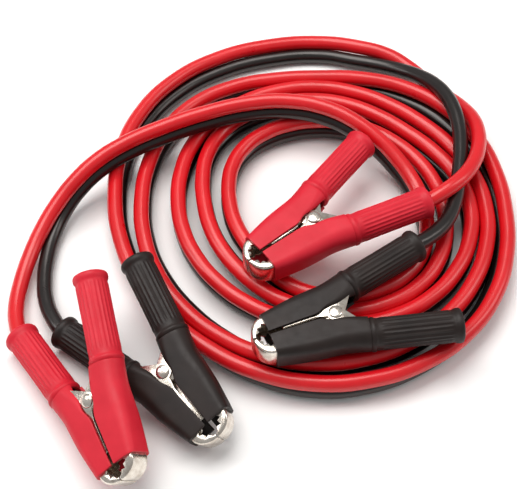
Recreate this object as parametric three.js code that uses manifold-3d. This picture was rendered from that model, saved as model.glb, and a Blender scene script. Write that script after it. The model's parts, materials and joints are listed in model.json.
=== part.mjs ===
// Twin car jumper cable with four insulated crocodile clamps, lying loosely coiled on a level floor.
// Millimetres, +Z up. The origin is on the floor under the middle of the four clamps.
import * as THREE from 'three';
import { mergeVertices } from 'three/addons/utils/BufferGeometryUtils.js';
import Module from 'manifold-3d';

const wasm = await Module();
wasm.setup();

// Twin cable: two round conductors, one standing on the other
const CONDUCTOR_D = 12;
const CONDUCTOR_SIDES = 10;
const GAP = 0.3;
const TWIN_HEIGHT = 2 * CONDUCTOR_D;
const CABLE_STEP = 2 * CONDUCTOR_D;

// Coil: how far each turn reaches from the coil's centre, in eight directions from north through west
const COIL_CENTRE = [45, 25];
const TURN_REACH = [
  [174, 171, 155, 147, 156, 153, 144, 145],
  [134, 142, 135, 134, 139, 136, 131, 119],
  [120.5, 117.5, 107, 103, 107, 118, 118.5, 104],
  [107, 104.5, 86, 82, 95, 105, 99, 90],
  [85, 80, 67, 65, 82, 92, 84],
];
const START_REACH = 181;
const START_ANGLE = 72;
const END_ANGLE = 1800;
const FIRST_REACH_ANGLE = 90;
const REACH_STEP = 45;
const OUTLINE_STEP = 12;

// Clamp: side plan in the clamp's own frame, X to the nose, Z along the rivet, one arm on each side of X
const PIVOT_TO_TIP = 62;
const STEEL_T = 1.5;
const JAW_WIDTH = 18;
const NOSE_LENGTH = 12;
const NOSE_BACK_Y = 15.5;
const NOSE_STEPS = 5;
const BACK_STEPS = 4;
const BACK_DIP = 1.5;
const SEAM = 0.4;
const MOUTH_R = 10;
const TOOTH_DEPTH = 1.8;
const TEETH = 5;
const TEETH_FROM = 160;
const TEETH_TO = 12;
const LIP = 3;
const JAW_EDGE_Y = 1;
const EAR_R = 6.5;
const EAR_CLEAR = 7.4;
const EAR_ARC = [190, 350];
const EAR_FRONT_ROOT = [4, 3];
const EAR_BACK_ROOT = [3, 5];
const NOTCH_HALF = 4;
const NOTCH_BACK = [2.5, 1.5];
const NOTCH_DROP = 1;
const JOGGLE = 0.4;
const RIVET_R = 3;
const RIVET_HEAD_R = 5;
const RIVET_HEAD_T = 1.5;
const RIVET_CHAMFER = 1;
const RIVET_SIDES = 10;
const HOLE_CLEAR = 0.4;
const HOLE_SIDES = 12;
const SHOULDER_X = 15;
const SHOULDER_BACK_Y = 25.5;
const SHOULDER_EDGE_Y = 16.5;

// Handles: each splays from the clamp's middle line inside a round sleeve
const COLLAR_BACK = 17;
const HANDLE_Y = 21;
const HANDLE_ANGLE = 14;
const HANDLE_WIDTH = 14;
const HANDLE_DEPTH = 10;
const HANDLE_LENGTH = 58;
const HANDLE_ROOT = 6;
const CHANNEL_ROOT = 20;
const CUT_PAST = 5;
const CUFF_LENGTH = 66;
const CUFF_R = 11.8;
const CUFF_SIDES = 16;
const COLLAR_R = 12.5;
const COLLAR_LENGTH = 4;
const RIM_R = 13;
const RIM_LENGTH = 5;
const RIM_ROUND = 1.2;
const BORE_R = 9.3;
const END_WALL = 4;

// Jaw cover: the flat-sided front of each sleeve
const SLEEVE_WALL = 2.3;
const COVER_EDGE_Y = 1.5;
const COVER_LAP = 1;
const COVER_DIP = 3;
const COVER_CREST = [6, 2];
const COVER_NOTCH_BACK = 0.3;
const COVER_NOTCH_FRONT = [2, 0.5];
const SLEEVE_ROOT = 8;

// Torsion spring round the rivet
const WIRE_R = 1;
const SPRING_R = 4.7;
const SPRING_TURNS = 2.5;
const SPRING_PITCH = 2.3;
const SPRING_SIDES = 6;
const SPRING_STEPS_PER_TURN = 8;
const LEG_START = 1;
const LEG_REACH = 12;
const LEG_STEPS = 8;
const SHORT_LEG = [-9, -9];

// Where each clamp lies: pivot over the floor, heading of the nose, roll and nose-down pitch in degrees
const FLOOR = 0;
const ON_COIL = TWIN_HEIGHT + GAP;
const CLAMPS = [
  {
    name: 'front_red', colour: 'red', pivot: [-111, -152.2], heading: -65, roll: 39, pitch: 4,
    cableSide: -1, bed: FLOOR,
  },
  {
    name: 'front_black', colour: 'black', pivot: [-64, -127], heading: -50.5, roll: 23, pitch: 3,
    cableSide: -1, bed: FLOOR,
  },
  {
    name: 'coil_red', colour: 'red', pivot: [41, -8], heading: 218.5, roll: 0, pitch: 0,
    cableSide: 1, bed: ON_COIL,
  },
  {
    name: 'coil_black', colour: 'black', pivot: [54, -90], heading: 201, roll: 0, pitch: 0,
    cableSide: -1, bed: ON_COIL,
  },
];
const ORIGIN = [-19.4, -66.1];

// Free ends of the cable, middle line of each conductor from the coil to its clamp
const RED_TAIL = [
  [129, 25.6, 18.4], [128.6, 33, 18.6], [122, 48, 21], [112, 62, 25.5], [98, 77, 33.5], [82, 92, 43.2],
  [58, 107, 43.4], [28, 118, 43.4], [-4, 116, 43.4], [-46, 99, 43.4], [-85, 78, 43.4], [-112, 64, 44],
  [-125, 56, 42.2], [-142, 41, 31.4], [-157, 24, 22.5], [-168, 6, 16], [-176, -20, 10], [-179.5, -48, 8],
  [-182, -68, 10], [-179, -80, 11.9], [-172.1, -89.3, 12.9],
];
const BLACK_TAIL = [
  [129, 25.6, 6.3], [128.6, 33, 6.3], [122, 48, 7.8], [112, 62, 12], [98, 77, 20], [82, 92, 30.4],
  [58, 107, 30.8], [28, 118, 30.8], [-4, 116, 30.8], [-46, 99, 30.8], [-85, 78, 30.8], [-112, 64, 31.4],
  [-125, 56, 28.6], [-142, 41, 17], [-156, 25, 8.5], [-160, 6, 6.3], [-162, -16, 6.3], [-164, -40, 6.5],
  [-160, -62, 9.5], [-151.7, -78.3, 12.4], [-142.4, -85.4, 12.9],
];
const RED_LEAD = [
  [128.1, 13.8, 37.3], [138.4, 18.5, 37.9], [149, 25, 43.4], [160, 36, 42], [169, 50, 35.5], [175, 68, 30.6],
  [178, 88, 30.4], [177, 106, 30.4], [172, 124, 19], [158, 143, 7.5], [141, 160.5, 6.3], [127.8, 181.6, 8.6],
  [115.8, 192.8, 16], [102, 197.2, 18.2],
];
const BLACK_LEAD = [
  [117, -25.9, 37.3], [126.2, -19.6, 36.9], [137, -11, 32.5], [145, 0, 30.6], [150.5, 14, 30.4],
  [153, 32, 30.4], [157, 52, 30.4], [161, 72, 30.4], [163, 92, 30.4], [160, 112, 31], [154.5, 130, 31.2],
  [149.5, 146, 26], [137, 160.5, 19.2], [120, 168.8, 15.5], [111.5, 181.2, 8], [98.7, 186.2, 6.3],
];

const RED = 0xdc2d38;
const BLACK = 0x232022;
const STEEL = 0xcfc6bb;
const FINISH = {
  red: { color: RED, roughness: 0.42, metalness: 0 },
  black: { color: BLACK, roughness: 0.4, metalness: 0 },
  steel: { color: STEEL, roughness: 0.28, metalness: 1 },
};

const rad = THREE.MathUtils.degToRad;

function toSolid(geometry) {
  const bare = new THREE.BufferGeometry();
  bare.setAttribute('position', geometry.getAttribute('position'));
  if (geometry.index) bare.setIndex(geometry.index);
  const merged = mergeVertices(bare, 1e-4);
  const vertProperties = new Float32Array(merged.getAttribute('position').array);
  const triVerts = new Uint32Array(merged.index.array);
  return new wasm.Manifold(new wasm.Mesh({ numProp: 3, vertProperties, triVerts }));
}

function toGeometry(solid) {
  const mesh = solid.getMesh();
  const geometry = new THREE.BufferGeometry();
  geometry.setAttribute('position', new THREE.BufferAttribute(new Float32Array(mesh.vertProperties), 3));
  geometry.setIndex(new THREE.BufferAttribute(new Uint32Array(mesh.triVerts), 1));
  geometry.computeVertexNormals();
  return geometry;
}

function piece(name, geometry, finish) {
  const mesh = new THREE.Mesh(geometry, new THREE.MeshStandardMaterial(FINISH[finish]));
  mesh.name = name;
  return mesh;
}

// A flat outline in the clamp's plan, given thickness along the rivet
function plate(points, low, high) {
  const outline = points.map(([x, y]) => new THREE.Vector2(x, y));
  const geometry = new THREE.ExtrudeGeometry(new THREE.Shape(outline), {
    depth: high - low,
    bevelEnabled: false,
  });
  geometry.translate(0, 0, low);
  return toSolid(geometry);
}

function aroundCentre(centre, radii, degrees) {
  return [centre[0] + radii[0] * Math.cos(rad(degrees)), centre[1] + radii[1] * Math.sin(rad(degrees))];
}

function arc(centre, radii, from, to, steps) {
  return Array.from({ length: steps + 1 }, (_, i) => (
    aroundCentre(centre, radii, from + ((to - from) * i) / steps)));
}

function bow(start, middle, end, steps) {
  const curve = new THREE.QuadraticBezierCurve(
    new THREE.Vector2(...start), new THREE.Vector2(...middle), new THREE.Vector2(...end));
  return curve.getPoints(steps).map((p) => [p.x, p.y]);
}

// A point of the handle, along and across its own middle line
function handlePoint(along, across) {
  const c = Math.cos(rad(HANDLE_ANGLE));
  const s = Math.sin(rad(HANDLE_ANGLE));
  return [-COLLAR_BACK - along * c + across * s, HANDLE_Y + along * s + across * c];
}

const coverFront = PIVOT_TO_TIP - NOSE_LENGTH;
const mouthX = PIVOT_TO_TIP - LIP - MOUTH_R;
const jawHalf = JAW_WIDTH / 2;
const coverHalf = jawHalf + GAP + SLEEVE_WALL;

// Outer edge of the steel jaw from the tip back to the shoulder, moved out by a distance
function jawBack(out) {
  const nose = arc([coverFront, SEAM], [NOSE_LENGTH + out, NOSE_BACK_Y - SEAM + out], 0, 90, NOSE_STEPS);
  const back = bow([coverFront, NOSE_BACK_Y + out], [PIVOT_TO_TIP / 3, SHOULDER_BACK_Y - BACK_DIP + out],
    [-SHOULDER_X, SHOULDER_BACK_Y + out], BACK_STEPS);
  return [...nose, ...back.slice(1)];
}

// Toothed hollow that grips a battery post, from the jaw's inner edge round to the lip
function mouthEdge() {
  const points = [];
  for (let i = 0; i <= 2 * TEETH; i += 1) {
    const reach = i % 2 ? MOUTH_R - TOOTH_DEPTH : MOUTH_R;
    const angle = TEETH_FROM + ((TEETH_TO - TEETH_FROM) * i) / (2 * TEETH);
    points.push(aroundCentre([mouthX, SEAM], [reach, reach], angle));
  }
  return points;
}

function flangeOutline() {
  return [
    ...jawBack(0),
    [-SHOULDER_X, SHOULDER_EDGE_Y],
    [-EAR_CLEAR - NOTCH_BACK[0], EAR_CLEAR + NOTCH_BACK[1]],
    [-NOTCH_HALF, EAR_CLEAR],
    [NOTCH_HALF, EAR_CLEAR],
    [EAR_CLEAR, EAR_CLEAR - NOTCH_DROP],
    [2 * EAR_CLEAR, JAW_EDGE_Y],
    [mouthX - MOUTH_R, JAW_EDGE_Y],
    ...mouthEdge(),
    [PIVOT_TO_TIP - LIP, SEAM],
  ];
}

// Lobe that carries the rivet hole across the clamp's middle line
function earOutline() {
  return [
    [EAR_CLEAR + EAR_FRONT_ROOT[0], EAR_CLEAR + EAR_FRONT_ROOT[1]],
    [-EAR_CLEAR - EAR_BACK_ROOT[0], EAR_CLEAR + EAR_BACK_ROOT[1]],
    ...arc([0, 0], [EAR_R, EAR_R], ...EAR_ARC, HOLE_SIDES / 2),
  ];
}

function handleChannel() {
  const half = HANDLE_DEPTH / 2;
  const rail = (low, high, z, front, back) => {
    const corners = [[front, high], [back, high], [back, low], [front, low]];
    return plate(corners.map(([along, across]) => handlePoint(along, across)), -z, z);
  };
  const outer = rail(-half, half, HANDLE_WIDTH / 2, -HANDLE_ROOT, HANDLE_LENGTH);
  const inner = rail(-half - CUT_PAST, half - STEEL_T, HANDLE_WIDTH / 2 - STEEL_T,
    -CHANNEL_ROOT, HANDLE_LENGTH + CUT_PAST);
  return outer.subtract(inner);
}

// One stamped jaw arm; inset ears run inside the other arm's ears
function armGeometry(insetEars) {
  const pocket = [...jawBack(-STEEL_T), [-2 * SHOULDER_X, SHOULDER_BACK_Y - STEEL_T],
    [-2 * SHOULDER_X, -HANDLE_Y], [PIVOT_TO_TIP - STEEL_T, -HANDLE_Y]];
  let arm = plate(flangeOutline(), -jawHalf, jawHalf);
  arm = arm.subtract(plate(pocket, STEEL_T - jawHalf, jawHalf - STEEL_T));
  arm = arm.add(handleChannel());
  const earOuter = insetEars ? jawHalf - STEEL_T - GAP : jawHalf;
  const joggle = earOutline().map(([x, y]) => [x, Math.max(y, EAR_CLEAR + JOGGLE)]);
  for (const side of [-1, 1]) {
    const span = (a, b) => [Math.min(side * a, side * b), Math.max(side * a, side * b)];
    arm = arm.add(plate(earOutline(), ...span(earOuter - STEEL_T, earOuter)));
    if (insetEars) arm = arm.add(plate(joggle, ...span(earOuter - STEEL_T, jawHalf - STEEL_T / 2)));
  }
  const holeR = RIVET_R + HOLE_CLEAR;
  const hole = arc([0, 0], [holeR, holeR], 0, 360 - 360 / HOLE_SIDES, HOLE_SIDES - 1);
  return toGeometry(arm.subtract(plate(hole, -JAW_WIDTH, JAW_WIDTH)));
}

function cuffSolid() {
  const profile = [
    [0, CUFF_LENGTH - END_WALL],
    [BORE_R, CUFF_LENGTH - END_WALL],
    [BORE_R, 0],
    [COLLAR_R, 0],
    [COLLAR_R, COLLAR_LENGTH],
    [CUFF_R, COLLAR_LENGTH + RIM_ROUND],
    [CUFF_R, CUFF_LENGTH - RIM_LENGTH],
    [RIM_R, CUFF_LENGTH - RIM_LENGTH + RIM_ROUND],
    [RIM_R, CUFF_LENGTH - RIM_ROUND],
    [RIM_R - RIM_ROUND, CUFF_LENGTH],
    [0, CUFF_LENGTH],
  ];
  const cuff = new THREE.LatheGeometry(profile.map(([r, y]) => new THREE.Vector2(r, y)), CUFF_SIDES);
  cuff.rotateZ(Math.PI / 2 - rad(HANDLE_ANGLE));
  cuff.translate(...handlePoint(0, 0), 0);
  return toSolid(cuff);
}

// One-piece moulded sleeve: round cuff, collar and flat-sided jaw cover
function sleeveGeometry() {
  const edge = GAP + SLEEVE_WALL;
  const cover = [
    ...bow([coverFront, NOSE_BACK_Y + edge], [PIVOT_TO_TIP / 2, SHOULDER_BACK_Y - COVER_DIP + edge],
      [COVER_CREST[0], SHOULDER_BACK_Y - COVER_CREST[1] + edge], BACK_STEPS),
    handlePoint(-COVER_LAP, COLLAR_R),
    handlePoint(COVER_LAP, COLLAR_R - COVER_LAP / 2),
    handlePoint(COVER_LAP, -COLLAR_R + COVER_LAP / 2),
    [-EAR_R, EAR_R + COVER_NOTCH_BACK],
    [EAR_R + COVER_NOTCH_FRONT[0], EAR_R - COVER_NOTCH_FRONT[1]],
    [2 * EAR_CLEAR, COVER_EDGE_Y],
    [coverFront, COVER_EDGE_Y],
  ];
  const room = [...jawBack(GAP), [-SHOULDER_X - GAP, SHOULDER_BACK_Y], [-SHOULDER_X - GAP, -HANDLE_Y],
    [PIVOT_TO_TIP + NOSE_LENGTH, -HANDLE_Y], [PIVOT_TO_TIP + NOSE_LENGTH, SEAM]];
  const half = HANDLE_DEPTH / 2 + GAP;
  const handleRoom = [handlePoint(-SLEEVE_ROOT, half), handlePoint(HANDLE_LENGTH + GAP, half),
    handlePoint(HANDLE_LENGTH + GAP, -half), handlePoint(-SLEEVE_ROOT, -half)];
  return toGeometry(plate(cover, -coverHalf, coverHalf).add(cuffSolid())
    .subtract(plate(room, -jawHalf - GAP, jawHalf + GAP))
    .subtract(plate(handleRoom, -HANDLE_WIDTH / 2 - GAP, HANDLE_WIDTH / 2 + GAP)));
}

function rivetGeometry() {
  const seat = jawHalf + GAP;
  const top = seat + RIVET_HEAD_T;
  const profile = [
    [0, -top], [RIVET_HEAD_R - RIVET_CHAMFER, -top], [RIVET_HEAD_R, -seat], [RIVET_R, -seat],
    [RIVET_R, seat], [RIVET_HEAD_R, seat], [RIVET_HEAD_R - RIVET_CHAMFER, top], [0, top],
  ];
  const rivet = new THREE.LatheGeometry(profile.map(([r, y]) => new THREE.Vector2(r, y)), RIVET_SIDES);
  rivet.rotateX(Math.PI / 2);
  return rivet;
}

function tube(points, radius, sides, steps) {
  const path = new THREE.CatmullRomCurve3(points.map((p) => new THREE.Vector3(...p)), false, 'centripetal');
  const ring = arc([0, 0], [radius, radius], 0, 360 - 360 / sides, sides - 1);
  const section = new THREE.Shape(ring.map(([x, y]) => new THREE.Vector2(x, y)));
  return new THREE.ExtrudeGeometry(section, { extrudePath: path, steps, bevelEnabled: false });
}

function cable(points) {
  const path = new THREE.CatmullRomCurve3(points.map((p) => new THREE.Vector3(...p)), false, 'centripetal');
  return tube(points, CONDUCTOR_D / 2, CONDUCTOR_SIDES, Math.ceil(path.getLength() / CABLE_STEP));
}

// Coil of wire round the rivet: one leg bears in the cable handle, the short one points at the free handle
function springGeometry() {
  const half = (SPRING_TURNS * SPRING_PITCH) / 2;
  const steps = SPRING_TURNS * SPRING_STEPS_PER_TURN;
  const points = [[...SHORT_LEG, -half]];
  for (let i = 0; i <= steps; i += 1) {
    const around = aroundCentre([0, 0], [SPRING_R, SPRING_R], -90 + (360 * i) / SPRING_STEPS_PER_TURN);
    points.push([...around, -half + (SPRING_PITCH * i) / SPRING_STEPS_PER_TURN]);
  }
  const seat = HANDLE_DEPTH / 2 - STEEL_T - GAP - WIRE_R;
  points.push([...handlePoint(LEG_START, -seat), half], [...handlePoint(LEG_REACH, seat), half]);
  return tube(points, WIRE_R, SPRING_SIDES, steps + LEG_STEPS);
}

function clampGroup({ name, colour, pivot, heading, roll, pitch, cableSide, bed }) {
  const clamp = new THREE.Group();
  const sideTurn = (side) => (side > 0 ? 0 : Math.PI);
  const arms = [
    { label: 'cable', side: cableSide, insetEars: false },
    { label: 'free', side: -cableSide, insetEars: true },
  ];
  for (const { label, side, insetEars } of arms) {
    const jaw = piece(`${name}_${label}_jaw`, armGeometry(insetEars), 'steel');
    const sleeve = piece(`${name}_${label}_sleeve`, sleeveGeometry(), colour);
    jaw.rotation.x = sideTurn(side);
    sleeve.rotation.x = sideTurn(side);
    clamp.add(jaw, sleeve);
  }
  const spring = piece(`${name}_spring`, springGeometry(), 'steel');
  spring.rotation.x = sideTurn(cableSide);
  clamp.add(piece(`${name}_rivet`, rivetGeometry(), 'steel'), spring);
  clamp.rotation.set(rad(roll), rad(pitch), rad(heading), 'ZYX');
  clamp.position.set(...pivot, 0);
  clamp.updateMatrixWorld(true);
  clamp.position.z = bed - new THREE.Box3().setFromObject(clamp, true).min.z;
  return clamp;
}

// Distance of the coil's middle line from its centre, at an angle that grows from turn to turn
function reachAt(angle) {
  const knots = [START_REACH, ...TURN_REACH.flat()];
  const place = (angle - FIRST_REACH_ANGLE) / REACH_STEP + 1;
  const i = Math.min(Math.max(Math.floor(place), 0), knots.length - 2);
  const t = place - i;
  const before = knots[Math.max(i - 1, 0)];
  const after = knots[Math.min(i + 2, knots.length - 1)];
  const slopeIn = (knots[i + 1] - before) / 2;
  const slopeOut = (after - knots[i]) / 2;
  return (2 * t ** 3 - 3 * t ** 2 + 1) * knots[i] + (t ** 3 - 2 * t ** 2 + t) * slopeIn
    + (3 * t ** 2 - 2 * t ** 3) * knots[i + 1] + (t ** 3 - t ** 2) * slopeOut;
}

function coilEdge(from, offset) {
  const steps = 360 / OUTLINE_STEP;
  return Array.from({ length: steps + 1 }, (_, i) => {
    const angle = from + i * OUTLINE_STEP;
    const reach = reachAt(angle) + offset;
    return new THREE.Vector2(
      COIL_CENTRE[0] + reach * Math.cos(rad(angle)), COIL_CENTRE[1] + reach * Math.sin(rad(angle)));
  });
}

// Loose turns as one body, stepped where the outer turn starts and where the inner turn ends
function coilGeometry() {
  const outline = new THREE.Shape(coilEdge(START_ANGLE, CONDUCTOR_D / 2));
  outline.holes.push(new THREE.Path(coilEdge(END_ANGLE - 360, -CONDUCTOR_D / 2)));
  return new THREE.ExtrudeGeometry(outline, { depth: TWIN_HEIGHT, bevelEnabled: false });
}

const group = new THREE.Group();
for (const layout of CLAMPS) group.add(clampGroup(layout));
group.add(piece('cable_coil', coilGeometry(), 'red'));
group.add(piece('red_tail', cable(RED_TAIL), 'red'));
group.add(piece('black_tail', cable(BLACK_TAIL), 'black'));
group.add(piece('red_lead', cable(RED_LEAD), 'red'));
group.add(piece('black_lead', cable(BLACK_LEAD), 'black'));
group.position.set(-ORIGIN[0], -ORIGIN[1], 0);
group.updateMatrixWorld(true);

export default group;
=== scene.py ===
# Twin car jumper cable with four insulated crocodile clamps, loosely coiled on a pale floor.
import json
import math

import bmesh
import bpy
from mathutils import Euler, Matrix, Vector


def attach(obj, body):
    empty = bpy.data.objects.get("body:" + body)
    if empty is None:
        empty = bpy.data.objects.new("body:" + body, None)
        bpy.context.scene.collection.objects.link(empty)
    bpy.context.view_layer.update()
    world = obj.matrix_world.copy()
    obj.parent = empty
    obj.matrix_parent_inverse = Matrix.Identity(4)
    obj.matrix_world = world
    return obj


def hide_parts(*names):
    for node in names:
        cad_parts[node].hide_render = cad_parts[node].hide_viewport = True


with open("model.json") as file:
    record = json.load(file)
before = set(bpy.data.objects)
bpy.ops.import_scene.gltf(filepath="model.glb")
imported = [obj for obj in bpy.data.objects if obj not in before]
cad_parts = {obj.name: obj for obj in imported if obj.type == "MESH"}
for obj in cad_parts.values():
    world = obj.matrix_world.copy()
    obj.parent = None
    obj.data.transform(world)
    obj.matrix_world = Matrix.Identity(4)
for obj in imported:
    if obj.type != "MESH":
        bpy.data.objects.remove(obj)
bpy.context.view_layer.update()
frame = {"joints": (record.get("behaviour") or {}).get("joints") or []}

MM = 0.001
MERGE = 0.0005
ROUTE_ORIGIN = Vector((-19.4, -66.1, 0.0))

# Camera: where it aims, in millimetres of the route's own frame, and how it looks down on it
AIM = Vector((0.0, 0.0, 0.0))
ELEVATION = 55.0
DISTANCE = 930.0
SENSOR = 36.0
LENS = 83.56

# Cable, millimetres
CONDUCTOR_D = 12.0
FLOOR_LIFT = 0.3
COIL_CENTRE = Vector((45.0, 25.0))
TURN_REACH = [
    [174, 171, 155, 147, 156, 153, 144, 145],
    [134, 142, 135, 134, 139, 136, 131, 119],
    [120.5, 117.5, 107, 103, 107, 118, 118.5, 104],
    [107, 104.5, 86, 82, 95, 105, 99, 90],
    [85, 80, 67, 65, 82, 92, 84],
]
START_REACH = 181.0
# How far the pair leans outward in each turn, in degrees from standing red over black
TURN_LEAN = [
    [60, 33, 11, 30, 5, 25, 15, 35],
    [-8, 2, 7, 32, 12, 2, -5, 20],
    [16, 2, 2, 10, 15, 2, 0, 8],
    [8, 0, 8, 26, 15, 0, -10, -5],
    [3, 0, 0, 12, 12, 0, 0],
]
START_LEAN = 62.0
START_ANGLE = 72.0
END_ANGLE = 1800.0
FIRST_REACH_ANGLE = 90.0
REACH_STEP = 45.0
COIL_STEP = 15.0
EASING_ROUNDS = 3
CABLE_INSET = 6.0
LINE_STEPS = 6
LINE_SIDES = 8

RED_TAIL = [
    (129, 25.6, 18.4), (128.6, 33, 18.6), (122, 48, 21), (112, 62, 25.5), (98, 77, 33.5), (82, 92, 43.2),
    (58, 107, 43.4), (28, 118, 43.4), (-4, 116, 43.4), (-46, 99, 43.4), (-85, 78, 43.4), (-112, 64, 44),
    (-125, 56, 42.2), (-142, 41, 31.4), (-157, 24, 22.5), (-168, 6, 16), (-176, -20, 10), (-179.5, -48, 8),
    (-182, -68, 10), (-179, -80, 11.9), (-172.1, -89.3, 12.9),
]
BLACK_TAIL = [
    (129, 25.6, 6.3), (128.6, 33, 6.3), (122, 48, 7.8), (112, 62, 12), (98, 77, 20), (82, 92, 30.4),
    (58, 107, 30.8), (28, 118, 30.8), (-4, 116, 30.8), (-46, 99, 30.8), (-85, 78, 30.8), (-112, 64, 31.4),
    (-125, 56, 28.6), (-142, 41, 17), (-156, 25, 8.5), (-160, 6, 6.3), (-162, -16, 6.3), (-164, -40, 6.5),
    (-160, -62, 9.5), (-151.7, -78.3, 12.4), (-142.4, -85.4, 12.9),
]
RED_LEAD = [
    (128.1, 13.8, 37.3), (138.4, 18.5, 37.9), (149, 25, 43.4), (160, 36, 42), (169, 50, 35.5),
    (175, 68, 30.6), (178, 88, 30.4), (177, 106, 30.4), (172, 124, 19), (158, 143, 7.5),
    (141, 160.5, 6.3), (127.8, 181.6, 8.6), (115.8, 192.8, 16), (102, 197.2, 18.2),
]
BLACK_LEAD = [
    (117, -25.9, 37.3), (126.2, -19.6, 36.9), (137, -11, 32.5), (145, 0, 30.6), (150.5, 14, 30.4),
    (153, 32, 30.4), (157, 52, 30.4), (161, 72, 30.4), (163, 92, 30.4), (160, 112, 31), (154.5, 130, 31.2),
    (149.5, 146, 26), (137, 160.5, 19.2), (120, 168.8, 15.5), (111.5, 181.2, 8), (98.7, 186.2, 6.3),
]

# Clamps: how each lies, in degrees; its pivot is its hinge's place in the frame
ROOT_BODY = "cable_and_fixed_arms"
CLAMPS = {
    "front_red": {"colour": "red", "heading": -65.0, "roll": 39.0, "pitch": 4.0, "cable_side": -1},
    "front_black": {"colour": "black", "heading": -50.5, "roll": 23.0, "pitch": 3.0, "cable_side": -1},
    "coil_red": {"colour": "red", "heading": 218.5, "roll": 0.0, "pitch": 0.0, "cable_side": 1},
    "coil_black": {"colour": "black", "heading": 201.0, "roll": 0.0, "pitch": 0.0, "cable_side": -1},
}

# Jaw of plated steel, millimetres in the clamp's plan: X to the nose, Y outward, Z along the rivet
PIVOT_TO_TIP = 62.0
NOSE_LENGTH = 12.0
NOSE_BACK_Y = 15.5
STEEL_T = 1.5
JAW_WIDTH = 18.0
SEAM = 0.4
LIP = 3.0
MOUTH_R = 10.0
TEETH = 5
TOOTH_DEPTH = 2.3
TEETH_FROM = 160.0
TEETH_TO = 12.0
SHOULDER_X = 15.0
SHOULDER_BACK_Y = 25.5
SHOULDER_EDGE_Y = 16.5
BACK_DIP = 1.5
JAW_EDGE_Y = 1.0
EAR_R = 6.5
EAR_FROM = 200.0
EAR_TO = 350.0
EAR_STEPS = 12
EAR_ROOT = (1.0, 5.0)
EAR_CLEAR = 7.4
NOTCH_HALF = 4.0
NOTCH_BACK = (2.5, 1.5)
NOTCH_DROP = 1.0
INSET_EAR_ROOT = [(13.0, 8.0), (9.0, 16.0), (-13.0, 17.0), (-15.0, 11.5)]
FOLD_R = 1.3
FOLD_STEPS = 4
NOSE_STEPS = 12
BACK_STEPS = 6
BURR = 0.2
STEEL_CREASE = 30.0
GAP = 0.3

# Rivet
RIVET_R = 3.0
RIVET_HEAD_R = 5.0
RIVET_HEAD_T = 1.5
RIVET_EDGE = 0.3
RIVET_SIDES = 40
DOME_STEPS = 6
DOME_CREASE = 40.0

# Handle and cuff
COLLAR_BACK = 17.0
HANDLE_Y = 21.0
HANDLE_ANGLE = 14.0
HANDLE_WIDTH = 14.0
HANDLE_DEPTH = 10.0
HANDLE_LENGTH = 58.0
HANDLE_START = -6.0
CUFF_LENGTH = 66.0
CUFF_R = 11.5
CUFF_SIDES = 144
BORE_R = 9.4
RIBS = 24
RIB_HEIGHT = 0.5
RIB_START = 8.0
RIB_END = 58.5
RIB_FADE = 2.0
CABLE_HOLE_R = 6.15
HOLE_ROUND = 0.8
END_WALL = 5.0
MOUTH_Y = -0.3
MOUTH_EDGE_R = 11.0
# Radius, and distance forward from the rear end
REAR_LIP = [(11.4, 0.0), (12.2, 0.5), (12.65, 1.6), (12.65, 3.0), (12.4, 4.4), (11.9, 5.4)]
# How far the wall stands out from the grip's radius, and distance along the handle
GRIP = [
    (0.0, 59.4), (0.0, 58.4), (0.0, 57.4), (0.0, 56.4), (-0.1, 45.0), (-0.2, 30.0),
    (-0.15, 15.0), (0.0, 10.5), (0.0, 9.5), (0.0, 8.5), (0.0, 7.5), (0.0, 6.2),
]
COLLAR = [(0.1, 4.6), (0.5, 4.0), (0.85, 3.5), (0.95, 2.6), (0.85, 1.6), (0.5, 1.0), (0.1, 0.4)]
BORE_MIDDLE = 30.0

# Hood of the sleeve over the jaw, from the front edge back to the collar:
# outer x, y, inner x, y, half width, corner radius at the back, curl radius at the open edge
HOOD_STATIONS = [
    (50.4, 17.9, 49.8, 1.2, 11.2, 5.2, 0.5),
    (38.0, 21.0, 38.0, 1.5, 11.4, 6.4, 0.5),
    (25.0, 23.9, 25.0, 1.8, 11.5, 7.6, 0.6),
    (13.0, 25.7, 13.0, 2.2, 11.5, 8.6, 0.8),
    (3.0, 27.0, 5.0, 5.3, 11.5, 9.4, 1.6),
    (-5.0, 29.2, -5.5, 6.4, 11.5, 10.2, 4.0),
    (-14.1, 32.4, -19.9, 9.8, 11.6, 11.3, 8.4),
]
HOOD_STEPS = 26
CURL_REACH = 70.0
CURL_STEPS = 5
FLANK_STEPS = 5
CORNER_STEPS = 8
SLEEVE_WALL = 2.2
SLEEVE_ROUND = 0.55
SLEEVE_CREASE = 38.0

# Torsion spring round the rivet
WIRE_R = 1.0
SPRING_R = 4.7
SPRING_TURNS = 2.5
SPRING_PITCH = 2.3
SPRING_STEPS = 20
SPRING_FOOT = (-9.0, -9.0)
SPRING_LEG = (1.0, 12.0)

# Floor, metres
FLOOR_HALF = 3.0
FLOOR_DROP = 0.0002
LIGHT_AIM = (0.0, 0.05, 0.0)


rad = math.radians


def in_frame(point):
    """A point of the cable's route, given in millimetres, in the frame in metres."""
    return (Vector(point) - ROUTE_ORIGIN) * MM


# Camera
def add_camera():
    lens = bpy.data.cameras.new("camera")
    lens.sensor_width = SENSOR
    lens.lens = LENS
    camera = bpy.data.objects.new("camera", lens)
    back = Vector((0.0, -math.cos(rad(ELEVATION)), math.sin(rad(ELEVATION)))) * DISTANCE
    camera.location = in_frame(AIM + back)
    camera.rotation_euler = Euler((rad(90.0 - ELEVATION), 0.0, 0.0))
    bpy.context.scene.collection.objects.link(camera)
    bpy.context.scene.camera = camera


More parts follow.
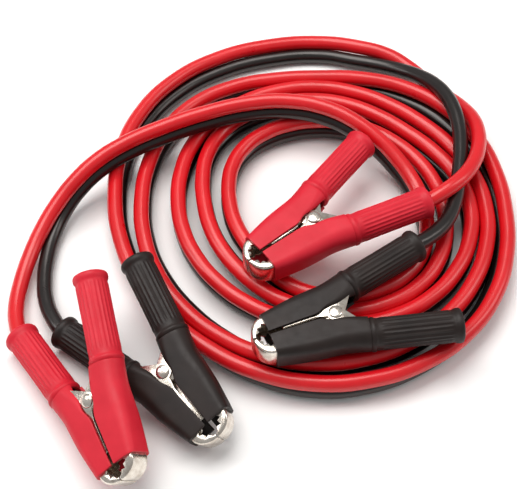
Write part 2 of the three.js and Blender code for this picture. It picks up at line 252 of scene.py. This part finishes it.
# Cable
def between_knots(knots, angle):
    """A smooth value at an angle of the coil, from knots that lie a fixed step apart."""
    place = (angle - FIRST_REACH_ANGLE) / REACH_STEP + 1.0
    i = min(max(int(math.floor(place)), 0), len(knots) - 2)
    t = place - i
    before = knots[max(i - 1, 0)]
    after = knots[min(i + 2, len(knots) - 1)]
    slope_in = (knots[i + 1] - before) / 2.0
    slope_out = (after - knots[i]) / 2.0
    return (
        (2 * t**3 - 3 * t**2 + 1) * knots[i]
        + (t**3 - 2 * t**2 + t) * slope_in
        + (3 * t**2 - 2 * t**3) * knots[i + 1]
        + (t**3 - t**2) * slope_out
    )


def coil_route(side):
    """One conductor through the coil; side is +1 for the red one, above or outside, and -1 for the black."""
    reaches = [START_REACH] + [reach for turn in TURN_REACH for reach in turn]
    leans = [START_LEAN] + [lean for turn in TURN_LEAN for lean in turn]
    points = []
    steps = round((END_ANGLE - START_ANGLE) / COIL_STEP)
    for i in range(1, steps):
        angle = START_ANGLE + (END_ANGLE - START_ANGLE) * i / steps
        lean = rad(between_knots(leans, angle))
        reach = between_knots(reaches, angle) + side * math.sin(lean) * CONDUCTOR_D / 2.0
        low = CONDUCTOR_D / 2.0 + FLOOR_LIFT
        high = low + math.cos(lean) * CONDUCTOR_D
        height = high if side > 0 else low
        points.append((
            COIL_CENTRE.x + reach * math.cos(rad(angle)),
            COIL_CENTRE.y + reach * math.sin(rad(angle)),
            height,
        ))
    return points


def relaxed(points):
    """A route with its points eased toward their neighbours, its two ends and what is next to them kept."""
    points = [Vector(p) for p in points]
    for _ in range(EASING_ROUNDS):
        eased = [
            points[i] / 2 + (points[i - 1] + points[i + 1]) / 4
            for i in range(2, len(points) - 2)
        ]
        points[2:-2] = eased
    return points


def smooth_line(points):
    """A cable's centreline as one open curve through its points."""
    curve = bpy.data.curves.new("line", "CURVE")
    curve.dimensions = "3D"
    curve.resolution_u = LINE_STEPS
    curve.bevel_depth = CONDUCTOR_D / 2.0 * MM
    curve.bevel_resolution = LINE_SIDES
    curve.use_fill_caps = True
    spline = curve.splines.new("BEZIER")
    spline.bezier_points.add(len(points) - 1)
    for knot, point in zip(spline.bezier_points, points):
        knot.co = point
        knot.handle_left_type = "AUTO"
        knot.handle_right_type = "AUTO"
    return curve


def line_length(curve):
    """Length of a curve's own line, straight pieces added up."""
    bare = curve.copy()
    bare.bevel_depth = 0.0
    bare.use_fill_caps = False
    probe = bpy.data.objects.new("probe", bare)
    bpy.context.scene.collection.objects.link(probe)
    bpy.context.view_layer.update()
    mesh = probe.evaluated_get(bpy.context.evaluated_depsgraph_get()).to_mesh()
    ends = [[mesh.vertices[i].co for i in edge.vertices] for edge in mesh.edges]
    total = sum((b - a).length for a, b in ends)
    bpy.data.objects.remove(probe)
    bpy.data.curves.remove(bare)
    return total


def into_cuff(start, after):
    """A point inside the cuff, straight on from the cable's first stretch behind it."""
    start = Vector(start)
    return start + (start - Vector(after)).normalized() * CABLE_INSET


def add_conductor(name, lead, tail, side, material, replaced):
    """One conductor from its clamp on the coil, through the coil, to its clamp in front."""
    coil = coil_route(side)
    points = relaxed([into_cuff(lead[0], lead[1]), *lead, *coil[:2]])
    points += [Vector(p) for p in coil[2:-2]]
    points += relaxed([*coil[-2:], *tail, into_cuff(tail[-1], tail[-2])])
    curve = smooth_line([in_frame(p) for p in points])
    curve.name = name
    conductor = bpy.data.objects.new(name, curve)
    bpy.context.scene.collection.objects.link(conductor)
    curve.materials.append(material)
    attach(conductor, ROOT_BODY)
    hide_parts(*replaced)
    line_length(curve)


# Materials
def linear(hex_colour):
    """An sRGB hex colour as linear RGBA."""
    channels = [int(hex_colour[i:i + 2], 16) / 255.0 for i in (1, 3, 5)]
    straight = [c / 12.92 if c <= 0.04045 else ((c + 0.055) / 1.055) ** 2.4 for c in channels]
    return (*straight, 1.0)


def add_node(tree, kind, settings=None, inputs=None):
    """Adds a node, sets its properties and its sockets' values, and links the sockets given as outputs."""
    node = tree.nodes.new(kind)
    for key, value in (settings or {}).items():
        setattr(node, key, value)
    for key, value in (inputs or {}).items():
        if isinstance(value, bpy.types.NodeSocket):
            tree.links.new(value, node.inputs[key])
        else:
            node.inputs[key].default_value = value
    return node


def new_surface(name):
    """A material with its shader and the object's own coordinates."""
    material = bpy.data.materials.new(name)
    material.use_nodes = True
    tree = material.node_tree
    shader = next(n for n in tree.nodes if n.type == "BSDF_PRINCIPLED")
    coords = add_node(tree, "ShaderNodeTexCoord").outputs["Object"]
    return material, tree, shader, coords


def vary_colour(tree, shader, coords, dark, light, patch_mm):
    """Colour that drifts between two shades in soft patches of a real size."""
    noise = add_node(tree, "ShaderNodeTexNoise", None, {
        "Vector": coords, "Scale": 1.0 / (patch_mm * MM), "Detail": 3.0, "Roughness": 0.55})
    ramp = add_node(tree, "ShaderNodeValToRGB", None, {"Fac": noise.outputs["Fac"]})
    ramp.color_ramp.elements[0].position = 0.3
    ramp.color_ramp.elements[0].color = linear(dark)
    ramp.color_ramp.elements[1].position = 0.7
    ramp.color_ramp.elements[1].color = linear(light)
    tree.links.new(ramp.outputs["Color"], shader.inputs["Base Color"])


def vary_roughness(tree, shader, coords, low, high, patch_mm):
    """Roughness that drifts between two values, so that highlights aren't even."""
    noise = add_node(tree, "ShaderNodeTexNoise", None, {
        "Vector": coords, "Scale": 1.0 / (patch_mm * MM), "Detail": 4.0, "Roughness": 0.6})
    span = add_node(tree, "ShaderNodeMapRange", None, {
        "Value": noise.outputs["Fac"], "From Min": 0.3, "From Max": 0.7,
        "To Min": low, "To Max": high})
    tree.links.new(span.outputs["Result"], shader.inputs["Roughness"])


def grain_bump(tree, shader, coords, grain_mm, depth_mm, strength):
    """Fine relief of the surface, its grain and depth given in millimetres."""
    noise = add_node(tree, "ShaderNodeTexNoise", None, {
        "Vector": coords, "Scale": 1.0 / (grain_mm * MM), "Detail": 2.0, "Roughness": 0.5})
    bump = add_node(tree, "ShaderNodeBump", None, {
        "Height": noise.outputs["Fac"], "Distance": depth_mm * MM, "Strength": strength})
    tree.links.new(bump.outputs["Normal"], shader.inputs["Normal"])


def extruded_pvc(name, dark, light):
    """PVC extruded round the copper: glossy, its skin just uneven enough to soften the light along it."""
    material, tree, shader, coords = new_surface(name)
    vary_colour(tree, shader, coords, dark, light, patch_mm=40.0)
    vary_roughness(tree, shader, coords, 0.27, 0.34, patch_mm=12.0)
    grain_bump(tree, shader, coords, grain_mm=4.0, depth_mm=0.02, strength=0.25)
    shader.inputs["IOR"].default_value = 1.53
    shader.inputs["Coat Weight"].default_value = 0.15
    shader.inputs["Coat Roughness"].default_value = 0.2
    shader.inputs["Coat Tint"].default_value = linear("#ffc8b0")
    return material


def moulded_pvc(name, dark, light):
    """Soft PVC moulded over the handle: satin, with a faint grain that breaks up its highlights."""
    material, tree, shader, coords = new_surface(name)
    vary_colour(tree, shader, coords, dark, light, patch_mm=22.0)
    vary_roughness(tree, shader, coords, 0.42, 0.54, patch_mm=6.0)
    grain_bump(tree, shader, coords, grain_mm=0.7, depth_mm=0.04, strength=0.4)
    shader.inputs["IOR"].default_value = 1.45
    shader.inputs["Specular IOR Level"].default_value = 0.36
    return material


def nickel_plate(name):
    """Pressed steel under bright nickel: a warm mirror with fine lines, drawn coarser than real to show."""
    material, tree, shader, coords = new_surface(name)
    shader.inputs["Metallic"].default_value = 1.0
    vary_colour(tree, shader, coords, "#c9bdb0", "#efe8de", patch_mm=5.0)
    vary_roughness(tree, shader, coords, 0.14, 0.30, patch_mm=3.0)
    drawn = add_node(tree, "ShaderNodeMapping", None, {"Vector": coords, "Scale": (1.0, 1.0, 8.0)})
    grain_bump(tree, shader, drawn.outputs["Vector"], grain_mm=1.2, depth_mm=0.03, strength=0.35)
    return material


def painted_floor():
    """Painted white board: matt, with a trace of roller grain."""
    material, tree, shader, coords = new_surface("white_board")
    vary_colour(tree, shader, coords, "#fcfcfb", "#ffffff", patch_mm=60.0)
    grain_bump(tree, shader, coords, grain_mm=1.5, depth_mm=0.02, strength=0.2)
    shader.inputs["Roughness"].default_value = 0.85
    return material


# Mesh helpers
def as_object(name, bm, material, modifiers, place, crease):
    """Turns a bmesh in millimetres into a finished piece in the frame, with its modifiers applied."""
    mesh = bpy.data.meshes.new(name)
    bmesh.ops.recalc_face_normals(bm, faces=bm.faces)
    bm.to_mesh(mesh)
    bm.free()
    piece = bpy.data.objects.new(name, mesh)
    bpy.context.scene.collection.objects.link(piece)
    for kind, settings in modifiers:
        modifier = piece.modifiers.new(kind.lower(), kind)
        for key, value in settings.items():
            setattr(modifier, key, value)
    if modifiers:
        bpy.context.view_layer.update()
        depsgraph = bpy.context.evaluated_depsgraph_get()
        mesh = bpy.data.meshes.new_from_object(piece.evaluated_get(depsgraph), depsgraph=depsgraph)
        piece.modifiers.clear()
        piece.data = mesh
        mesh.name = name
    mesh.transform(place @ Matrix.Scale(MM, 4))
    mesh.polygons.foreach_set("use_smooth", [True] * len(mesh.polygons))
    mesh.set_sharp_from_angle(angle=rad(crease))
    mesh.materials.clear()
    mesh.materials.append(material)
    return piece


def dress(piece, body, node):
    """Puts a piece on its body and in place of its solid."""
    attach(piece, body)
    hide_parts(node)


def joined(name, parts):
    """Joins finished pieces into the first of them."""
    target = parts[0]
    bm = bmesh.new()
    for part in parts:
        bm.from_mesh(part.data)
    bm.to_mesh(target.data)
    bm.free()
    for part in parts[1:]:
        bpy.data.objects.remove(part)
    target.name = name
    target.data.name = name
    return target


def chain(bm, points):
    """An open chain of edges through points."""
    verts = [bm.verts.new(p) for p in points]
    return [bm.edges.new(pair) for pair in zip(verts, verts[1:])]


def clamp_place(name):
    """Where a clamp's plan lies in the frame."""
    layout = CLAMPS[name]
    hinge = next(j for j in frame["joints"] if j["name"] == name + "_clamp_hinge")
    turn = Euler([rad(layout[angle]) for angle in ("roll", "pitch", "heading")], "XYZ")
    return Matrix.Translation(Vector(hinge["pos_m"])) @ turn.to_matrix().to_4x4()


def handle_point(along, across):
    """A point of the handle in the clamp's plan, along and across its own middle line."""
    c = math.cos(rad(HANDLE_ANGLE))
    s = math.sin(rad(HANDLE_ANGLE))
    return (-COLLAR_BACK - along * c + across * s, HANDLE_Y + along * s + across * c)


def on_oval(centre, radii, angle):
    return (centre[0] + radii[0] * math.cos(rad(angle)), centre[1] + radii[1] * math.sin(rad(angle)))


def arc(centre, radii, start, end, steps):
    """Points of an oval's arc from one angle to another."""
    return [on_oval(centre, radii, start + (end - start) * i / steps) for i in range(steps + 1)]


def bow(start, middle, end, steps):
    """A soft curve from start to end, drawn toward the middle point."""
    points = []
    for i in range(steps + 1):
        t = i / steps
        points.append(tuple(
            (1 - t) ** 2 * a + 2 * t * (1 - t) * b + t * t * c for a, b, c in zip(start, middle, end)))
    return points


# Sleeve
def blend_rows(rows, u):
    """A row between rows, on a smooth curve through all of them."""
    place = u * (len(rows) - 1)
    i = min(int(place), len(rows) - 2)
    t = place - i
    p0 = rows[max(i - 1, 0)]
    p1 = rows[i]
    p2 = rows[i + 1]
    p3 = rows[min(i + 2, len(rows) - 1)]
    return [
        0.5 * (2 * b + (c - a) * t + (2 * a - 5 * b + 4 * c - d) * t**2 + (3 * b - a - 3 * c + d) * t**3)
        for a, b, c, d in zip(p0, p1, p2, p3)
    ]


def hood_section(outer, inner, half, corner, curl):
    """A U across the hood, from one open edge over its back to the other."""
    height = math.dist(outer, inner)
    sink = curl * math.sin(rad(CURL_REACH))
    profile = arc((half - curl, sink), (curl, curl), -CURL_REACH, 0.0, CURL_STEPS)
    wall_top = height - corner
    for i in range(1, FLANK_STEPS):
        profile.append((half, sink + (wall_top - sink) * i / FLANK_STEPS))
    profile += arc((half - corner, wall_top), (corner, corner), 0.0, 90.0, CORNER_STEPS)
    other_side = [(-z, v) for z, v in reversed(profile)]
    full = profile + [(0.0, height)] + other_side
    across = ((outer[0] - inner[0]) / height, (outer[1] - inner[1]) / height)
    return [(inner[0] + across[0] * v, inner[1] + across[1] * v, z) for z, v in full]


def hood_mesh():
    """Open cover over the jaw's back and flanks, lofted through its stations."""
    bm = bmesh.new()
    last = None
    for i in range(HOOD_STEPS + 1):
        station = blend_rows(HOOD_STATIONS, i / HOOD_STEPS)
        section = chain(bm, hood_section(station[:2], station[2:4], *station[4:]))
        if last:
            bmesh.ops.bridge_loops(bm, edges=last + section)
        last = section
    return bm


def cuff_profile(hole_r):
    """Radius and distance along the handle, from the rear end over grip and collar and back up the bore."""
    bottom = CUFF_LENGTH - END_WALL
    start = (hole_r, CUFF_LENGTH - END_WALL + 2.0)
    profile = [start, (hole_r, CUFF_LENGTH - 0.9), (hole_r + HOLE_ROUND, CUFF_LENGTH - 0.2)]
    profile += [(r, CUFF_LENGTH - forward) for r, forward in REAR_LIP]
    profile += [(CUFF_R + stand, along) for stand, along in GRIP + COLLAR]
    profile += [(MOUTH_EDGE_R, MOUTH_Y), (BORE_R, MOUTH_Y), (BORE_R, BORE_MIDDLE), (BORE_R, bottom)]
    if hole_r > 0.0:
        return profile + [(hole_r, bottom), start]
    return profile[1:] + [(0.0, bottom)]


def cuff_mesh(hole_r):
    """Round grip with fine ribs along it, a raised collar in front and a lip behind."""
    bm = bmesh.new()
    profile = cuff_profile(hole_r)
    edges = chain(bm, [(r, along, 0.0) for r, along in profile])
    verts = list({v for e in edges for v in e.verts})
    bmesh.ops.spin(
        bm, geom=verts + edges, cent=(0, 0, 0), axis=(0, 1, 0), angle=2 * math.pi, steps=CUFF_SIDES,
        use_merge=True)
    bmesh.ops.remove_doubles(bm, verts=bm.verts, dist=MERGE)
    for v in bm.verts:
        r = math.hypot(v.co.x, v.co.z)
        if RIB_START < v.co.y < RIB_END and r > BORE_R + 1.0:
            fade = min(1.0, (v.co.y - RIB_START) / RIB_FADE, (RIB_END - v.co.y) / RIB_FADE)
            wave = 0.5 + 0.5 * math.cos(RIBS * math.atan2(v.co.z, v.co.x))
            grow = (r + RIB_HEIGHT * fade * (wave ** 1.5 - 0.5)) / r
            v.co.x *= grow
            v.co.z *= grow
    to_handle = Matrix.Rotation(rad(90 - HANDLE_ANGLE), 4, "Z")
    to_handle.translation = (*handle_point(0, 0), 0)
    bmesh.ops.transform(bm, matrix=to_handle, verts=bm.verts)
    return bm


def add_sleeve(name, place, colour, takes_cable):
    """Hood and cuff of one arm, as one moulding."""
    material = SLEEVE_FINISH[colour]
    hole_r = CABLE_HOLE_R if takes_cable else 0.0
    wall = ("SOLIDIFY", {"thickness": SLEEVE_WALL, "offset": -1.0, "use_even_offset": True})
    rim = ("BEVEL", {
        "width": SLEEVE_ROUND, "segments": 3, "limit_method": "ANGLE", "angle_limit": rad(60)})
    hood = as_object(name + "_hood", hood_mesh(), material, (wall, rim), place, SLEEVE_CREASE)
    cuff = as_object(name + "_cuff", cuff_mesh(hole_r), material, (), place, SLEEVE_CREASE)
    return joined(name, [hood, cuff])


# Jaw
def jaw_back(inset):
    """Outer edge of the jaw from the tip back to the shoulder, moved in by a distance."""
    front = PIVOT_TO_TIP - NOSE_LENGTH
    nose = arc((front, SEAM), (NOSE_LENGTH - inset, NOSE_BACK_Y - SEAM - inset), 0, 90, NOSE_STEPS)
    dip = (PIVOT_TO_TIP / 3, SHOULDER_BACK_Y - BACK_DIP - inset)
    back = bow((front, NOSE_BACK_Y - inset), dip, (-SHOULDER_X, SHOULDER_BACK_Y - inset), BACK_STEPS)
    return nose + back[1:]


def mouth_edge():
    """Hollow with sharp teeth that bites a battery post."""
    centre = (PIVOT_TO_TIP - LIP - MOUTH_R, SEAM)
    points = []
    for i in range(2 * TEETH + 1):
        reach = MOUTH_R - TOOTH_DEPTH if i % 2 else MOUTH_R
        angle = TEETH_FROM + (TEETH_TO - TEETH_FROM) * i / (2 * TEETH)
        points.append(on_oval(centre, (reach, reach), angle))
    return points


def jaw_edge(with_ear):
    """Inner edge of a flange from the shoulder forward to the lip."""
    mouth_back = PIVOT_TO_TIP - LIP - 2 * MOUTH_R
    if with_ear:
        root = [(-SHOULDER_X - EAR_ROOT[0], SHOULDER_EDGE_Y - EAR_ROOT[1])]
        root += arc((0, 0), (EAR_R, EAR_R), EAR_FROM, EAR_TO, EAR_STEPS)
    else:
        root = [
            (-EAR_CLEAR - NOTCH_BACK[0], EAR_CLEAR + NOTCH_BACK[1]),
            (-NOTCH_HALF, EAR_CLEAR),
            (NOTCH_HALF, EAR_CLEAR),
            (EAR_CLEAR, EAR_CLEAR - NOTCH_DROP),
        ]
    front = [(2 * EAR_CLEAR, JAW_EDGE_Y), (mouth_back, JAW_EDGE_Y)]
    return [(-SHOULDER_X, SHOULDER_EDGE_Y)] + root + front


def jaw_shell(with_ear):
    """The pressed channel as a thin sheet: a toothed flange, the band over the back, the other flange."""
    bm = bmesh.new()
    half = (JAW_WIDTH - STEEL_T) / 2
    fold = [(FOLD_R * (1 - s), half - FOLD_R * (1 - c)) for c, s in arc((0, 0), (1, 1), 0, 90, FOLD_STEPS)]
    levels = fold + [(inset, -z) for inset, z in reversed(fold)]
    edge = jaw_edge(with_ear) + mouth_edge() + [(PIVOT_TO_TIP - STEEL_T - FOLD_R, SEAM)]
    rows = []
    for i, (inset, z) in enumerate(levels):
        verts = [bm.verts.new((x, y, z)) for x, y in jaw_back(STEEL_T / 2 + inset)]
        rows.append([bm.edges.new(pair) for pair in zip(verts, verts[1:])])
        if i in (0, len(levels) - 1):
            bm.faces.new(verts + [bm.verts.new((x, y, z)) for x, y in edge])
    for row, following in zip(rows, rows[1:]):
        bmesh.ops.bridge_loops(bm, edges=row + following)
    return bm


def ear_plate(z):
    """Lobe set inside the other arm's lobe, on the arm whose ears are joggled inward."""
    bm = bmesh.new()
    outline = INSET_EAR_ROOT + arc((0, 0), (EAR_R, EAR_R), EAR_FROM, EAR_TO, EAR_STEPS)
    bm.faces.new([bm.verts.new((x, y, z)) for x, y in outline])
    return bm


def handle_shell():
    """Channel of the handle inside the cuff."""
    bm = bmesh.new()
    side = (HANDLE_WIDTH - STEEL_T) / 2
    low = -HANDLE_DEPTH / 2
    top = HANDLE_DEPTH / 2 - STEEL_T / 2
    rows = []
    for along in (HANDLE_START, HANDLE_LENGTH):
        corners = [(low, -side), (top, -side), (top, side), (low, side)]
        rows.append(chain(bm, [(*handle_point(along, across), z) for across, z in corners]))
    bmesh.ops.bridge_loops(bm, edges=rows[0] + rows[1])
    return bm


def add_jaw(name, place, inset_ears):
    """Jaw, handle and ears of one arm, as one pressing."""
    sheet = ("SOLIDIFY", {"thickness": STEEL_T, "offset": 0.0, "use_even_offset": False})
    burr = ("BEVEL", {"width": BURR, "segments": 2, "limit_method": "ANGLE", "angle_limit": rad(50)})
    meshes = {"_channel": jaw_shell(not inset_ears), "_handle": handle_shell()}
    if inset_ears:
        inside = JAW_WIDTH / 2 - STEEL_T * 1.5 - GAP
        meshes.update({"_low_ear": ear_plate(-inside), "_high_ear": ear_plate(inside)})
    return joined(name, [
        as_object(name + part, bm, STEEL, (sheet, burr), place, STEEL_CREASE) for part, bm in meshes.items()])


def turned(profile):
    """A shape turned round the rivet's axis from radius and height pairs."""
    bm = bmesh.new()
    edges = chain(bm, [(r, 0.0, z) for r, z in profile])
    verts = list({v for e in edges for v in e.verts})
    bmesh.ops.spin(
        bm, geom=verts + edges, cent=(0, 0, 0), axis=(0, 0, 1), angle=2 * math.pi, steps=RIVET_SIDES,
        use_merge=True)
    bmesh.ops.remove_doubles(bm, verts=bm.verts, dist=MERGE)
    return bm


def rivet_mesh():
    """Pin with two domed heads."""
    seat = JAW_WIDTH / 2 + GAP
    rim = seat + RIVET_EDGE
    half = [(RIVET_R, 0.0), (RIVET_R, seat), (RIVET_HEAD_R - RIVET_EDGE, seat), (RIVET_HEAD_R, rim)]
    half += arc((0, rim), (RIVET_HEAD_R, RIVET_HEAD_T - RIVET_EDGE), 0, 90, DOME_STEPS)[1:-1]
    half += [(0.0, seat + RIVET_HEAD_T)]
    return turned([(r, -z) for r, z in reversed(half)] + half[1:])


def spring_curve(place):
    """Coil of wire round the rivet with a leg along the cable handle."""
    half = SPRING_TURNS * SPRING_PITCH / 2
    points = [(*SPRING_FOOT, -half)]
    for i in range(int(SPRING_TURNS * SPRING_STEPS) + 1):
        turned_by = 360 * i / SPRING_STEPS - 90
        climb = SPRING_PITCH * i / SPRING_STEPS
        points.append((*on_oval((0, 0), (SPRING_R, SPRING_R), turned_by), climb - half))
    seat = HANDLE_DEPTH / 2 - STEEL_T - GAP - WIRE_R
    leg_start, leg_end = SPRING_LEG
    points += [(*handle_point(leg_start, -seat), half), (*handle_point(leg_end, seat), half)]
    curve = bpy.data.curves.new("spring", "CURVE")
    curve.dimensions = "3D"
    curve.bevel_depth = WIRE_R * MM
    curve.bevel_resolution = 3
    curve.use_fill_caps = True
    spline = curve.splines.new("POLY")
    spline.points.add(len(points) - 1)
    for knot, point in zip(spline.points, points):
        knot.co = (*(place @ (Vector(point) * MM)), 1.0)
    return curve


def add_spring(name, place):
    """The wire as a mesh, like every other rigid piece."""
    curve = spring_curve(place)
    holder = bpy.data.objects.new(name, curve)
    bpy.context.scene.collection.objects.link(holder)
    bpy.context.view_layer.update()
    depsgraph = bpy.context.evaluated_depsgraph_get()
    mesh = bpy.data.meshes.new_from_object(holder.evaluated_get(depsgraph), depsgraph=depsgraph)
    bpy.data.objects.remove(holder)
    spring = bpy.data.objects.new(name, mesh)
    bpy.context.scene.collection.objects.link(spring)
    mesh.polygons.foreach_set("use_smooth", [True] * len(mesh.polygons))
    mesh.materials.clear()
    mesh.materials.append(STEEL)
    return spring


def add_clamp(name):
    """Two arms, each a sleeve over a jaw, with the rivet and spring between them."""
    layout = CLAMPS[name]
    place = clamp_place(name)
    arms = {
        "cable": (ROOT_BODY, layout["cable_side"]),
        "free": (name + "_free_arm", -layout["cable_side"]),
    }
    for arm, (body, side) in arms.items():
        arm_place = place @ Matrix.Rotation(0.0 if side > 0 else math.pi, 4, "X")
        sleeve_node = f"{name}_{arm}_sleeve"
        jaw_node = f"{name}_{arm}_jaw"
        sleeve = add_sleeve(sleeve_node + "_skin", arm_place, layout["colour"], arm == "cable")
        dress(sleeve, body, sleeve_node)
        jaw = add_jaw(jaw_node + "_pressing", arm_place, arm == "free")
        dress(jaw, body, jaw_node)
        if arm == "cable":
            spring = add_spring(name + "_spring_wire", arm_place)
            dress(spring, body, name + "_spring")
    rivet = as_object(name + "_rivet_pin", rivet_mesh(), STEEL, (), place, DOME_CREASE)
    dress(rivet, ROOT_BODY, name + "_rivet")


# Floor and light
def add_floor():
    bm = bmesh.new()
    bmesh.ops.create_grid(bm, x_segments=4, y_segments=4, size=FLOOR_HALF / MM)
    sunk = Matrix.Translation((0, 0, -FLOOR_DROP))
    floor = as_object("floor", bm, painted_floor(), (), sunk, SLEEVE_CREASE)


def add_softbox(name, location, size, power, colour):
    light = bpy.data.lights.new(name, "AREA")
    light.shape = "RECTANGLE"
    light.size, light.size_y = size
    light.energy = power
    light.color = colour
    box = bpy.data.objects.new(name, light)
    box.location = location
    box.rotation_euler = (Vector(LIGHT_AIM) - Vector(location)).to_track_quat("-Z", "Y").to_euler()
    bpy.context.scene.collection.objects.link(box)


def add_light():
    """White room with a large soft box overhead, and two strips that line the cable's flanks."""
    world = bpy.data.worlds.new("studio")
    bpy.context.scene.world = world
    world.use_nodes = True
    background = next(n for n in world.node_tree.nodes if n.type == "BACKGROUND")
    background.inputs["Color"].default_value = (1.0, 1.0, 1.0, 1.0)
    background.inputs["Strength"].default_value = 0.4
    add_softbox("top_box", (-0.25, 0.45, 1.55), (1.3, 1.0), 22.5, (1.0, 0.985, 0.96))
    add_softbox("left_strip", (-1.1, 0.1, 0.9), (0.25, 0.9), 4.0, (1.0, 1.0, 1.0))
    add_softbox("right_strip", (1.1, 0.2, 1.0), (0.25, 0.9), 3.5, (1.0, 0.97, 0.94))
    bpy.context.scene.view_settings.view_transform = "Standard"


add_camera()
CABLE_RED = extruded_pvc("extruded_pvc_red", "#ca0b17", "#da1622")
CABLE_BLACK = extruded_pvc("extruded_pvc_black", "#0b0908", "#131010")
SLEEVE_FINISH = {
    "red": moulded_pvc("moulded_pvc_red", "#c71a2c", "#d52335"),
    "black": moulded_pvc("moulded_pvc_black", "#1a1210", "#261c19"),
}
STEEL = nickel_plate("nickel_plated_steel")
add_conductor(
    "red_conductor", RED_LEAD, RED_TAIL, 1, CABLE_RED, ["red_lead", "red_tail", "cable_coil"])
add_conductor(
    "black_conductor", BLACK_LEAD, BLACK_TAIL, -1, CABLE_BLACK, ["black_lead", "black_tail"])
for clamp_name in CLAMPS:
    add_clamp(clamp_name)
add_floor()
add_light()
